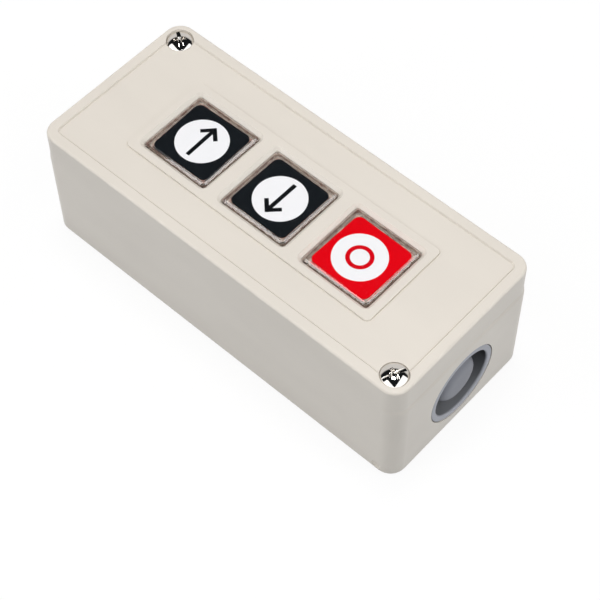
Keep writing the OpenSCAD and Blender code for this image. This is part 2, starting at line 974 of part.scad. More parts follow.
base_plate();
cover();
cable_grommet();
cover_screws();
contact_block();
block_screws();
deck_plate();
deck_screws();
latch_slide();
latch_pin();
slide_studs();
cap(for_y);  // for_cap
black_card() label(for_y);  // for_label
holder(for_y);  // for_holder
latching_plunger(for_y);  // for_plunger
bridge(for_y, open_bridge_z, true);  // for_bridge
bridge_spring(for_y, open_bridge_z + bridge_t);  // for_bridge_spring
return_spring(for_y);  // for_return_spring
cap(rev_y);  // rev_cap
black_card() label(rev_y);  // rev_label
holder(rev_y);  // rev_holder
latching_plunger(rev_y);  // rev_plunger
bridge(rev_y, open_bridge_z, true);  // rev_bridge
bridge_spring(rev_y, open_bridge_z + bridge_t);  // rev_bridge_spring
return_spring(rev_y);  // rev_return_spring
cap(stop_y);  // stop_cap
red_card() label(stop_y);  // stop_label
holder(stop_y);  // stop_holder
cam_plunger(stop_y);  // stop_plunger
bridge(stop_y, shut_bridge_z, false);  // stop_bridge
bridge_spring(stop_y, shut_bridge_z - bridge_spring_l);  // stop_bridge_spring
return_spring(stop_y);  // stop_return_spring
fixed_contact(for_y, -1, false);  // for_line_contact
fixed_contact(for_y, 1, false);  // for_load_contact
fixed_contact(rev_y, -1, false);  // rev_line_contact
fixed_contact(rev_y, 1, false);  // rev_load_contact
fixed_contact(stop_y, -1, true);  // stop_line_contact
fixed_contact(stop_y, 1, true);  // stop_load_contact
terminal_screws();
terminal_clamps();
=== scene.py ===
"""Studio scene of a wall-mounted three-button control station.

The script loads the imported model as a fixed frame. It stands finely rounded
pieces in the places of the visible ones, gives every piece a procedural finish,
and sets up the floor, the light and the camera. Sizes of the pieces are in
millimetres of the frame, and become metres when a piece is made.
"""

import json
import logging
import math
from dataclasses import dataclass
from enum import Enum
from typing import Mapping, Optional, Sequence, Union

import bmesh
import bpy
from mathutils import Matrix, Vector


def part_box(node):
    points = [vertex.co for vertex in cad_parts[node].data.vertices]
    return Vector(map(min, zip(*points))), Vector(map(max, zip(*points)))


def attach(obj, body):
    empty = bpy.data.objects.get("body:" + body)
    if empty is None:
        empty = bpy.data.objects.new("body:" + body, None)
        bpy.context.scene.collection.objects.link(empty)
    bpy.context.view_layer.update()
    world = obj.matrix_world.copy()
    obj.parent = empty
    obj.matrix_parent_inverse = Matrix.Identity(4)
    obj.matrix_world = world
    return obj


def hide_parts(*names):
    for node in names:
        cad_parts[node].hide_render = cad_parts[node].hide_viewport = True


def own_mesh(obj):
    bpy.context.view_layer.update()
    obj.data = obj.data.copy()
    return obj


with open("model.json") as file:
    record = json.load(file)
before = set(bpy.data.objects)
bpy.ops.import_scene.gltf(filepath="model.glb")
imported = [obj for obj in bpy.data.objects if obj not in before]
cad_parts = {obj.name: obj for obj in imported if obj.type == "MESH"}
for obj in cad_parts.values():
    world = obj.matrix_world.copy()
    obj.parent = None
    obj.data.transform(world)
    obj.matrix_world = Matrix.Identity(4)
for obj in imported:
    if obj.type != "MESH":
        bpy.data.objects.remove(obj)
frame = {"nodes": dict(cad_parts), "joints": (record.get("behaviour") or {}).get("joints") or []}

LOG = logging.getLogger("control_station")
MM = 0.001
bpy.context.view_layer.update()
BUTTONS = ("for", "rev", "stop")

Colour = tuple[float, float, float]
Place = tuple[float, float, float]
Point = tuple[float, float]
Ring = list[Place]
Object = bpy.types.Object
Value = Union["Socket", float, Colour]


class Body(Enum):
    """The bodies of the frame that pieces ride on."""

    HOUSING = "housing"
    FORWARD = "for_button"
    REVERSE = "rev_button"
    STOP = "stop_button"


@dataclass(frozen=True)
class Box:
    """The room that a node of the frame takes, in millimetres."""

    low: Vector
    high: Vector

    @classmethod
    def of(cls, node: str) -> "Box":
        """Measures a node of the frame."""
        low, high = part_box(node)
        return cls(low / MM, high / MM)

    @property
    def size(self) -> Vector:
        """The lengths of the box's sides."""
        return self.high - self.low

    @property
    def middle(self) -> Vector:
        """The middle of the box."""
        return (self.high + self.low) / 2


GROMMET_BOX = Box.of("cable_grommet")
SCREWS_BOX = Box.of("cover_screws")
FORWARD_SCREW = [
    tuple(part / MM for part in vertex.co)
    for vertex in frame["nodes"]["cover_screws"].data.vertices
    if vertex.co.y > 0
]


def srgb(*parts: int) -> Colour:
    """Turns a screen colour, whose parts go from 0 to 255, into linear light."""
    shares = [part / 255 for part in parts]
    return tuple(s / 12.92 if s <= 0.04045 else ((s + 0.055) / 1.055) ** 2.4 for s in shares)


def darker(colour: Colour, share: float) -> Colour:
    """Takes a share of its light from a colour."""
    return tuple(part * (1 - share) for part in colour)


# Shader maths


class Socket:
    """One output of a node, for use in Python expressions.

    Numbers make Math nodes. An expression with a colour or a vector in it makes a
    Vector Math node.
    """

    def __init__(self, graph: "Graph", output: bpy.types.NodeSocket) -> None:
        """Keeps the graph that new nodes go into, and the output itself."""
        self.graph = graph
        self.output = output

    def __add__(self, other: Value) -> "Socket":
        """Adds."""
        return self.graph.maths("ADD", self, other)

    __radd__ = __add__

    def __sub__(self, other: Value) -> "Socket":
        """Subtracts."""
        return self.graph.maths("SUBTRACT", self, other)

    def __rsub__(self, other: Value) -> "Socket":
        """Subtracts, with the socket on the right."""
        return self.graph.maths("SUBTRACT", other, self)

    def __mul__(self, other: Value) -> "Socket":
        """Multiplies."""
        return self.graph.maths("MULTIPLY", self, other)

    def limited(self) -> "Socket":
        """Keeps a number between 0 and 1."""
        return self.graph.node("ShaderNodeClamp", sockets={"Value": self})

    def above(self, edge: float, blur: float) -> "Socket":
        """Makes a mask of where a number lies above an edge, which is soft by a blur each way."""
        return ((self - (edge - blur)) * (0.5 / blur)).limited()

    def sway(self, reach: float) -> "Socket":
        """Turns a noise, which lies around 0.5, into a number of some reach around 0."""
        return (self - 0.5) * reach


class Graph:
    """The node tree of a material or of the world."""

    def __init__(self, owner: Union[bpy.types.Material, bpy.types.World]) -> None:
        """Gives the material or world a tree, and empties it.

        Args:
            owner: The material or world.
        """
        owner.use_nodes = True
        self.tree = owner.node_tree
        self.tree.nodes.clear()

    def node(
        self, kind: str, settings: Optional[Mapping[str, str]] = None,
        sockets: Optional[Mapping[Union[str, int], Value]] = None, output: Union[str, int] = 0,
    ) -> Socket:
        """Adds one node.

        Args:
            kind: The node's type.
            settings: What is set on the node first.
            sockets: A value or a link for each input that isn't left alone.
            output: The output to return.

        Returns:
            That output.
        """
        node = self.tree.nodes.new(kind)
        for name, value in (settings or {}).items():
            setattr(node, name, value)
        for name, value in (sockets or {}).items():
            self._feed(node.inputs[name], value)
        return Socket(self, node.outputs[output])

    def _feed(self, socket: bpy.types.NodeSocket, value: Value) -> None:
        """Feeds an input.

        Args:
            socket: The input.
            value: The output to link to it, or the value to set it to.
        """
        if isinstance(value, Socket):
            self.tree.links.new(value.output, socket)
        else:
            socket.default_value = (*value, 1.0) if socket.type == "RGBA" else value

    def maths(self, operation: str, left: Value, right: Value) -> Socket:
        """Joins two values by a Math node, or a Vector Math node.

        Args:
            operation: The node's operation.
            left, right: Its two values. A plain number beside a vector counts for all its parts.

        Returns:
            The result.
        """
        kind, pair = "ShaderNodeMath", (left, right)
        if any(self._is_vector(value) for value in pair):
            kind = "ShaderNodeVectorMath"
            pair = [value if self._is_vector(value) else (value,) * 3 for value in pair]
        return self.node(kind, {"operation": operation}, dict(enumerate(pair)))

    @staticmethod
    def _is_vector(value: Value) -> bool:
        """Tells whether a value is a colour or a vector."""
        wide = isinstance(value, Socket) and value.output.type in ("VECTOR", "RGBA")
        return wide or isinstance(value, tuple)

    def mix(self, low: Value, high: Value, share: Value) -> Socket:
        """Mixes two colours.

        Args:
            low: The colour where the share is 0.
            high: The colour where the share is 1.
            share: How much of the second colour shows.

        Returns:
            The mixed colour.
        """
        factor, first, second, result = 0, 6, 7, 2
        sockets = {factor: share, first: low, second: high}
        return self.node("ShaderNodeMix", {"data_type": "RGBA"}, sockets, result)

    def blend(self, low: Socket, high: Socket, share: Socket) -> Socket:
        """Mixes two shaders. The second shows where the share is 1."""
        return self.node("ShaderNodeMixShader", sockets={0: share, 1: low, 2: high})

    def rays(self, *kinds: str) -> Socket:
        """Makes a mask of the rays of some kinds."""
        masks = [self.node("ShaderNodeLightPath", output=f"Is {kind} Ray") for kind in kinds]
        return sum(masks).limited()

    def place(self) -> Socket:
        """Gives the point on the piece, in millimetres of the frame."""
        return self.node("ShaderNodeTexCoord", output="Object") * (1 / MM)

    def part(self, vector: Socket, axis: str) -> Socket:
        """Takes one part out of a vector."""
        return self.node("ShaderNodeSeparateXYZ", sockets={"Vector": vector}, output=axis)

    def measure(self, operation: str, *vectors: Value) -> Socket:
        """Makes one number of one or two vectors, by an operation of a Vector Math node."""
        sockets = dict(enumerate(vectors))
        return self.node("ShaderNodeVectorMath", {"operation": operation}, sockets, "Value")

    def noise(self, place: Socket, size: float, detail: float = 3.0) -> Socket:
        """Adds soft noise around 0.5, with patches of a size and finer layers as its detail."""
        sockets = {"Vector": place, "Scale": 1 / size, "Detail": detail}
        return self.node("ShaderNodeTexNoise", sockets=sockets)

    def specks(self, place: Socket, spacing: float, radius: float) -> Socket:
        """Makes a mask of small round specks, up to a radius, at a spacing."""
        near = self.node("ShaderNodeTexVoronoi", sockets={"Vector": place, "Scale": 1 / spacing})
        return 1 - near.above(edge=radius / spacing, blur=0.2 * radius / spacing)

    def bump(self, height: Socket, depth: float) -> Socket:
        """Turns a height from 0 to 1 into a bumpy normal, as deep as so many millimetres."""
        return self.node("ShaderNodeBump", sockets={"Height": height, "Distance": depth * MM})

    def shader(self, **sockets: Value) -> Socket:
        """Adds a Principled BSDF. Its sockets are named with _ for each space."""
        named = {name.replace("_", " "): value for name, value in sockets.items()}
        return self.node("ShaderNodeBsdfPrincipled", sockets=named)

    def finish(self, shader: Socket, kind: str = "ShaderNodeOutputMaterial") -> None:
        """Sends a shader to the output of the tree."""
        output = self.tree.nodes.new(kind)
        self.tree.links.new(shader.output, output.inputs["Surface"])


# Finishes


@dataclass(frozen=True)
class Finish:
    """What a surface is made of. Each finish makes its material once."""

    slot: str

    def material(self) -> bpy.types.Material:
        """Gives the finish's material, which is made at the first call.

        Returns:
            The material.
        """
        found = bpy.data.materials.get(f"finish_{self.slot}")
        if found is None:
            found = bpy.data.materials.new(f"finish_{self.slot}")
            self.paint(Graph(found))
        return found

    def paint(self, graph: Graph) -> None:
        """Fills the material's nodes."""
        raise NotImplementedError


@dataclass(frozen=True)
class Moulded(Finish):
    """Moulded plastic with a fine spark-eroded grain and slow flow marks."""

    colour: Colour
    roughness: float = 0.38
    grain: float = 0.35
    grain_depth: float = 0.006
    flow_stretch: Place = (1.0, 0.35, 1.0)
    flow_shade: float = 0.06
    dirt: float = 0.25
    stain: Optional[Colour] = None

    def paint(self, graph: Graph) -> None:
        """Fills the material's nodes.

        Args:
            graph: The material's nodes.
        """
        place = graph.place()
        grain = graph.noise(place, self.grain)
        flow = graph.noise(place * self.flow_stretch, size=14.0, detail=2.0)
        worn = graph.noise(place, size=31.0, detail=2.0).above(edge=0.55, blur=0.05)
        specks = graph.specks(place, spacing=9.0, radius=0.14) * worn
        shaded = darker(self.colour, self.flow_shade)
        colour = graph.mix(self.colour, shaded, flow.above(edge=0.5, blur=0.3))
        if self.stain:
            stained = graph.noise(place, size=1.3, detail=4.0).above(edge=0.52, blur=0.1)
            colour = graph.mix(colour, self.stain, stained)
        graph.finish(graph.shader(
            Base_Color=graph.mix(colour, darker(self.colour, self.dirt), specks),
            Roughness=self.roughness + grain.sway(reach=0.12) + flow.sway(reach=0.06),
            IOR=1.5,
            Normal=graph.bump(grain, self.grain_depth),
        ))


@dataclass(frozen=True)
class Rubber(Finish):
    """Soft rubber that light has faded on its face, with painted shade deep in its groove and
    painted light low in the groove.
    """

    colour: Colour
    bloom: Colour
    # Painted shade: the dark colour of the groove's walls, which stands in for the shade deep in
    # the groove
    groove_shade: Colour
    # Painted light: the colour of the groove where light falls on its lower wall
    groove_light: Colour
    hole: Place
    roughness: float = 0.5
    crown: float = 8.6
    # The depth into the hole past which the groove is painted with shade
    painted_shade_depth: float = 0.45
    # Share of painted light for each millimetre downwards, and in random patches
    painted_light_fall: float = 0.08
    painted_light_cloud: float = 0.6

    def paint(self, graph: Graph) -> None:
        """Fills the material's nodes.

        Args:
            graph: The material's nodes.
        """
        place = graph.place()
        grain = graph.noise(place, size=0.25)
        cloud = graph.noise(place, size=5.0)
        inwards = place - self.hole
        # Mask of the painted shade: the groove, past a depth and outside the crown's radius
        depth = graph.part(inwards, "Y").above(self.painted_shade_depth, blur=0.25)
        radius = graph.measure("LENGTH", inwards * (1.0, 0.0, 1.0))
        ring = radius.above(self.crown, blur=0.2)
        face = graph.mix(self.colour, self.bloom, (ring + cloud.sway(reach=0.4)).limited())
        # Painted light: the groove grows lighter downwards, where its wall faces up, and in
        # random patches
        groove_light_share = (graph.part(inwards, "Z") * -self.painted_light_fall + cloud * self.painted_light_cloud).limited()
        groove = graph.mix(self.groove_shade, self.groove_light, groove_light_share)
        graph.finish(graph.shader(
            # The groove shows painted shade, with painted light lower down, in place of the
            # face's colour
            Base_Color=graph.mix(face, groove, depth * ring),
            Roughness=self.roughness + grain.sway(reach=0.2) + cloud.sway(reach=0.15),
            IOR=1.4,
            Specular_IOR_Level=0.3,
            Normal=graph.bump(grain, depth=0.008),
        ))


@dataclass(frozen=True)
class Plated(Finish):
    """Plated or drawn metal, with fine streaks along one axis."""

    colour: Colour
    roughness: float = 0.2
    streak: Place = (1.0, 1.0, 1.0)
    tarnish: float = 0.15
    wear: float = 0.16
    cloudy: float = 0.6
    streak_depth: float = 0.012

    def paint(self, graph: Graph) -> None:
        """Fills the material's nodes.

        Args:
            graph: The material's nodes.
        """
        place = graph.place()
        streaks = graph.noise(place * self.streak, size=0.12)
        cloud = graph.noise(place, size=1.8)
        dull = darker(self.colour, self.tarnish)
        rough = self.roughness + streaks.sway(self.wear) + cloud.sway(self.cloudy * self.wear)
        graph.finish(graph.shader(
            Base_Color=graph.mix(self.colour, dull, cloud.above(edge=0.5, blur=0.2)),
            Metallic=1.0,
            Roughness=rough.limited(),
            Normal=graph.bump(streaks, self.streak_depth * self.wear),
        ))


@dataclass(frozen=True)
class Clear(Finish):
    """Clear moulded plastic that lets the lamps through to what lies under it."""

    tint: Colour
    roughness: float = 0.03
    smear: float = 0.02
    smear_stretch: Place = (1.0, 0.3, 1.0)

    def paint(self, graph: Graph) -> None:
        """Fills the material's nodes.

        Args:
            graph: The material's nodes.
        """
        place = graph.place()
        ripple = graph.noise(place, size=5.0, detail=1.0)
        smears = graph.noise(place * self.smear_stretch, size=2.2).above(edge=0.6, blur=0.15)
        glass = graph.shader(
            Base_Color=self.tint,
            Roughness=self.roughness + smears * self.smear,
            IOR=1.49,
            Transmission_Weight=1.0,
            Normal=graph.bump(ripple, depth=0.003),
        )
        open_air = graph.node("ShaderNodeBsdfTransparent", sockets={"Color": self.tint})
        graph.finish(graph.blend(glass, open_air, graph.rays("Shadow", "Diffuse")))


@dataclass(frozen=True)
class Printed(Finish):
    """A printed card or a layer of ink on it."""

    colour: Colour
    roughness: float = 0.5
    gloss: float = 0.02
    lift: float = 0.0008

    def paint(self, graph: Graph) -> None:
        """Fills the material's nodes.

        Args:
            graph: The material's nodes.
        """
        place = graph.place()
        fibre = graph.noise(place, size=0.2, detail=4.0)
        wash = graph.noise(place, size=3.5).above(edge=0.5, blur=0.25)
        lifted = tuple(part + (1 - part) * self.lift for part in self.colour)
        graph.finish(graph.shader(
            Base_Color=graph.mix(self.colour, lifted, wash),
            Roughness=self.roughness + fibre.sway(reach=0.1),
            IOR=1.45,
            Specular_IOR_Level=self.gloss,
            Normal=graph.bump(fibre, depth=0.003),
        ))


COVER_PLASTIC = Moulded("cover_plastic", srgb(224, 217, 207))
BASE_PLASTIC = Moulded("base_plastic", srgb(221, 214, 202), roughness=0.5)
HOLDER_PLASTIC = Moulded(
    "holder_plastic", srgb(194, 176, 162), roughness=0.5, grain=0.5, stain=srgb(136, 100, 90)
)
BLOCK_PLASTIC = Moulded("block_phenolic", srgb(38, 35, 34), roughness=0.35, grain_depth=0.01)
BLACK_PLUNGER = Moulded("black_plunger", srgb(48, 48, 50), roughness=0.4)
RED_PLUNGER = Moulded("red_plunger", srgb(190, 24, 24), roughness=0.4)
GROMMET_RUBBER = Rubber(
    "grommet_rubber",
    srgb(142, 144, 152),
    srgb(178, 180, 188),
    # Painted shade for the groove, then painted light for its lower wall
    groove_shade=srgb(8, 12, 15),
    groove_light=srgb(128, 130, 134),
    hole=(0.0, GROMMET_BOX.low.y, GROMMET_BOX.middle.z),
)
NICKEL = Plated("nickel_screw", srgb(246, 243, 239), roughness=0.05, tarnish=0.04, wear=0.03)
ZINC = Plated("zinc_screw", srgb(206, 206, 200), roughness=0.22)
DECK_STEEL = Plated("deck_steel", srgb(194, 196, 198), roughness=0.3, streak=(4.0, 0.2, 1.0))
SLIDE_STEEL = Plated("slide_steel", srgb(188, 190, 194), roughness=0.28, streak=(4.0, 0.2, 1.0))
PIN_STEEL = Plated("pin_steel", srgb(206, 206, 209), roughness=0.12, streak=(0.2, 4.0, 4.0))
CLAMP_STEEL = Plated("clamp_steel", srgb(206, 203, 190), roughness=0.25)
SPRING_STEEL = Plated("spring_steel", srgb(190, 192, 196), roughness=0.2)
BRASS = Plated("contact_brass", srgb(216, 182, 116), roughness=0.22, streak=(0.2, 4.0, 1.0))
CLEAR_PLASTIC = Clear("clear_cap", (0.996, 0.996, 0.994))
BLACK_CARD = Printed("black_card", srgb(20, 24, 28))
RED_CARD = Printed("red_card", srgb(227, 1, 18))

# The ink lies on a card
WHITE_INK = Printed("white_ink", srgb(246, 246, 249))
BLACK_INK = Printed("black_ink", srgb(12, 14, 17))
RED_INK = Printed("red_ink", srgb(214, 4, 22))

BUTTON_PARTS: dict[str, Finish] = {
    "holder": HOLDER_PLASTIC,
    "bridge": BRASS,
    "line_contact": BRASS,
    "load_contact": BRASS,
    "bridge_spring": SPRING_STEEL,
}

# The nodes whose own shape is right, and which only get a finish
CARRIED_OVER: dict[str, Finish] = {
    "base_plate": BASE_PLASTIC,
    "contact_block": BLOCK_PLASTIC,
    "block_screws": ZINC,
    "deck_plate": DECK_STEEL,
    "deck_screws": ZINC,
    "latch_slide": SLIDE_STEEL,
    "latch_pin": PIN_STEEL,
    "slide_studs": ZINC,
    "terminal_screws": ZINC,
    "terminal_clamps": CLAMP_STEEL,
    "for_plunger": BLACK_PLUNGER,
    "rev_plunger": BLACK_PLUNGER,
    "stop_plunger": RED_PLUNGER,
    **{f"{name}_{part}": finish for name in BUTTONS for part, finish in BUTTON_PARTS.items()},
}


# Shapes


def arc(centre: Point, radius: float, start: float, end: float, steps: int) -> list[Point]:
    """Draws an arc in short edges, between two directions in degrees."""
    turns = [math.radians(start + (end - start) * i / steps) for i in range(steps + 1)]
    return [(centre[0] + radius * math.cos(a), centre[1] + radius * math.sin(a)) for a in turns]


def disc(radius: float, steps: int = 96) -> list[Point]:
    """Draws a circle round the origin, counter-clockwise."""
    return arc((0.0, 0.0), radius, 0, 360, steps)[:-1]


def soft_edge(height: float, radius: float, steps: int = 6) -> list[Point]:
    """Rounds the top of a wall. Gives the inset and the height of each step, upwards."""
    return arc((radius, height - radius), radius, 180, 90, steps)


def raised(points: Sequence[Point], height: float) -> Ring:
    """Lifts a flat outline to a height."""
    return [(x, y, height) for x, y in points]


def stand(place: Sequence[float], degrees: float = 0.0, axis: str = "Z") -> Matrix:
    """Makes the matrix that turns a shape about an axis, and then moves it to a place."""
    return Matrix.Translation(place) @ Matrix.Rotation(math.radians(degrees), 4, axis)


@dataclass(frozen=True)
class Plan:
    """A rounded rectangle, seen from above."""

    width: float
    length: float
    corner: float
    steps: int = 8

    def ring(self, height: float, inset: float = 0.0) -> Ring:
        """Draws it at a height, with as many points at every inset.

        Args:
            height: The height.
            inset: How far the outline is drawn in. It grows where this is negative.

        Returns:
            Its points, counter-clockwise.
        """
        radius = self.corner - inset
        x = (self.width - 2 * inset) / 2 - radius
        y = (self.length - 2 * inset) / 2 - radius
        points = []
        for number, centre in enumerate(((x, y), (-x, y), (-x, -y), (x, -y))):
            points += arc(centre, radius, 90 * number, 90 * number + 90, self.steps)
        return raised(points, height)


def linked(name: str, data: bpy.types.ID) -> Object:
    """Makes an object and links it to the scene.

    Args:
        name: Its name.
        data: Its mesh, lamp or camera.

    Returns:
        The object.
    """
    made = bpy.data.objects.new(name, data)
    bpy.context.scene.collection.objects.link(made)
    return made


class Way(Enum):
    """What a second shape does to the first."""

    CUT = "DIFFERENCE"
    JOIN = "UNION"


class Shape:
    """A closed mesh under construction, in millimetres of the frame."""

    def __init__(self) -> None:
        """Starts with an empty mesh."""
        self.mesh = bmesh.new()

    def loft(self, rings: Sequence[Ring], closed: bool = True) -> "Shape":
        """Adds a skin over rings of equally many points.

        Args:
            rings: The rings, in order.
            closed: Whether the first and the last ring are filled.

        Returns:
            The shape itself.
        """
        rows = [[self.mesh.verts.new(point) for point in ring] for ring in rings]
        count = len(rows[0])
        for low, high in zip(rows, rows[1:]):
            for i in range(count):
                j = (i + 1) % count
                self.mesh.faces.new((low[i], low[j], high[j], high[i]))
        if closed:
            self.mesh.faces.new(rows[0][::-1])
            self.mesh.faces.new(rows[-1])
        return self

    def slab(self, points: Sequence[Point], low: float, high: float) -> "Shape":
        """Adds a flat outline that is drawn up from one height to another."""
        return self.loft([raised(points, low), raised(points, high)])

    def spin(self, profile: Sequence[Point], steps: int = 64) -> "Shape":
        """Adds a body turned round the Z axis, from the radius and height of each step."""
        return self.loft([raised(disc(radius, steps), height) for radius, height in profile])

    def moved(self, matrix: Matrix) -> "Shape":
        """Moves the shape by a matrix."""
        bmesh.ops.transform(self.mesh, matrix=matrix, verts=self.mesh.verts)
        return self

    def at(self, x: float, y: float, z: float = 0.0) -> "Shape":
        """Moves the shape by a distance."""
        return self.moved(Matrix.Translation((x, y, z)))

    def add(self, other: "Shape") -> "Shape":
        """Takes in another shape that stands clear of this one.

        Args:
            other: The other shape, which stays as it is.

        Returns:
            The shape itself.
        """
        data = bpy.data.meshes.new("part")
        other.mesh.to_mesh(data)
        self.mesh.from_mesh(data)
        bpy.data.meshes.remove(data)
        return self

    def _object(self) -> Object:
        """Makes a plain object of the shape.

        Returns:
            The object.
        """
        bmesh.ops.recalc_face_normals(self.mesh, faces=self.mesh.faces)
        data = bpy.data.meshes.new("shape")
        self.mesh.to_mesh(data)
        return linked("shape", data)

    @staticmethod
    def _modified(made: Object, kind: str, **settings: object) -> bpy.types.Mesh:
        """Makes a new mesh of an object, by one modifier.

        Args:
            made: The object.
            kind: The modifier's type.
            settings: What is set on the modifier.

        Returns:
            The mesh.
        """
        modifier = made.modifiers.new("change", kind)
        for name, value in settings.items():
            setattr(modifier, name, value)
        graph = bpy.context.evaluated_depsgraph_get()
        return bpy.data.meshes.new_from_object(made.evaluated_get(graph))

    def _change(self, kind: str, **settings: object) -> "Shape":
        """Changes the shape by one modifier.

        Args:
            kind: The modifier's type.
            settings: What is set on the modifier.

        Returns:
            The shape itself.
        """
        made = self._object()
        data = self._modified(made, kind, **settings)
        self.mesh.clear()
        self.mesh.from_mesh(data)
        for old in (made.data, data):
            bpy.data.meshes.remove(old)
        return self

    def combine(self, other: "Shape", way: Way) -> "Shape":
        """Cuts another shape away, or joins it.

        Args:
            other: The other shape.
            way: What it does.

        Returns:
            The shape itself.
        """
        tool = other._object()
        self._change("BOOLEAN", operation=way.value, object=tool, solver="EXACT")
        bpy.data.meshes.remove(tool.data)
        return self

    def settled(self) -> "Shape":
        """Puts the points and the faces in an order that is the same each run.

        Returns:
            The shape itself.
        """
        order = sorted(self.mesh.verts, key=lambda point: tuple(point.co))
        rank = {point: number for number, point in enumerate(order)}
        places = [point.co.copy() for point in order]
        faces = []
        for polygon in self.mesh.faces:
            face = [rank[point] for point in polygon.verts]
            first = face.index(min(face))
            faces.append(face[first:] + face[:first])
        self.mesh.clear()
        points = [self.mesh.verts.new(place) for place in places]
        for face in sorted(faces):
            self.mesh.faces.new([points[number] for number in face])
        return self

    def eased(self, radius: float) -> "Shape":
        """Rounds the sharp edges.

        Args:
            radius: The width of the rounding.

        Returns:
            The shape itself.
        """
        weld, flat, least = 0.0005, math.radians(0.5), math.radians(30)
        bmesh.ops.remove_doubles(self.mesh, verts=self.mesh.verts, dist=weld)
        bmesh.ops.dissolve_limit(
            self.mesh, angle_limit=flat, verts=self.mesh.verts, edges=self.mesh.edges
        )
        return self._change(
            "BEVEL", width=radius, segments=2, limit_method="ANGLE", angle_limit=least,
            use_clamp_overlap=True,
        )

    def piece(
        self, name: str, finish: Finish, body: Body,
        replaces: Sequence[str] = (), slot: Optional[str] = None,
    ) -> Object:
        """Makes the finished piece, in metres, and sets it on its body.

        Args:
            name: The piece's name.
            finish: What it is made of.
            body: The body that it rides on.
            replaces: The nodes that it stands for.
            slot: Not used. It would be the record's material slot, if it isn't the finish's own.

        Returns:
            The piece.
        """
        made = self._object()
        made.name = name
        made.data.name = name
        made.data.transform(Matrix.Scale(MM, 4))
        made.data.shade_smooth()
        made.data.set_sharp_from_angle(angle=math.radians(32))
        data = self._modified(made, "WEIGHTED_NORMAL", keep_sharp=True, weight=100)
        made.modifiers.clear()
        made.data = data
        made.data.materials.clear()
        made.data.materials.append(finish.material())
        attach(made, body.value)
        if replaces:
            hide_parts(*replaces)
        LOG.info("%s: %d faces, on %s", name, len(made.data.polygons), body.value)
        return made


# Pieces


